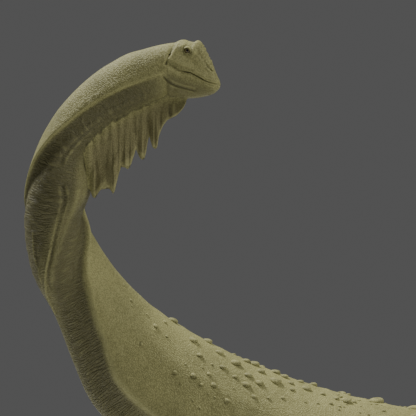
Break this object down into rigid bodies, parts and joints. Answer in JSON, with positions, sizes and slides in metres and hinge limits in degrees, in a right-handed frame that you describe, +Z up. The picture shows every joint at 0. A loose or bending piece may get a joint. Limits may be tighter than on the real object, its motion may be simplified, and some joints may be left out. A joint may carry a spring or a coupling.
{
  "type": "titanosaur sauropod dinosaur",
  "caption": "Life-size giant titanosaur with armour scutes along its back and a lobed throat dewlap, standing with its long neck turned back over its shoulders",
  "frame": {"origin": "on the floor, under the middle of the whole animal's box", "axes": "+Z up, the trunk lies along X with the chest towards -X and the tail towards +X, and the animal's left flank faces -Y"},
  "size_m": [17.7766, 2.5692, 9.6823],
  "materials": {
    "hide": "matt pebbled olive-grey scaly hide with fine wrinkles",
    "dewlap": "matt thin pleated throat skin, slightly browner than the hide",
    "claw": "dull dark worn horn",
    "eye": "wet glossy amber-brown eye"
  },
  "bodies": {
    "root": {"foreleg_upper_left": "hide", "foreleg_lower_left": "hide", "forefoot_left": "hide", "foreleg_upper_right": "hide", "foreleg_lower_right": "hide", "forefoot_right": "hide", "hindleg_upper_left": "hide", "hindleg_lower_left": "hide", "hindfoot_left": "hide", "hindleg_upper_right": "hide", "hindleg_lower_right": "hide", "hindfoot_right": "hide", "claw_left_1": "claw", "claw_left_2": "claw", "claw_left_3": "claw", "claw_right_1": "claw", "claw_right_2": "claw", "claw_right_3": "claw", "head": "hide", "eye_left": "eye", "eye_right": "eye", "dewlap": "dewlap", "tail_tip": "hide", "tail_end": "hide", "tail_middle": "hide", "tail_base": "hide", "rump": "hide", "chest": "hide", "neck_base": "hide", "neck_lower": "hide", "neck_middle": "hide", "neck_upper": "hide"}
  },
  "joints": []
}
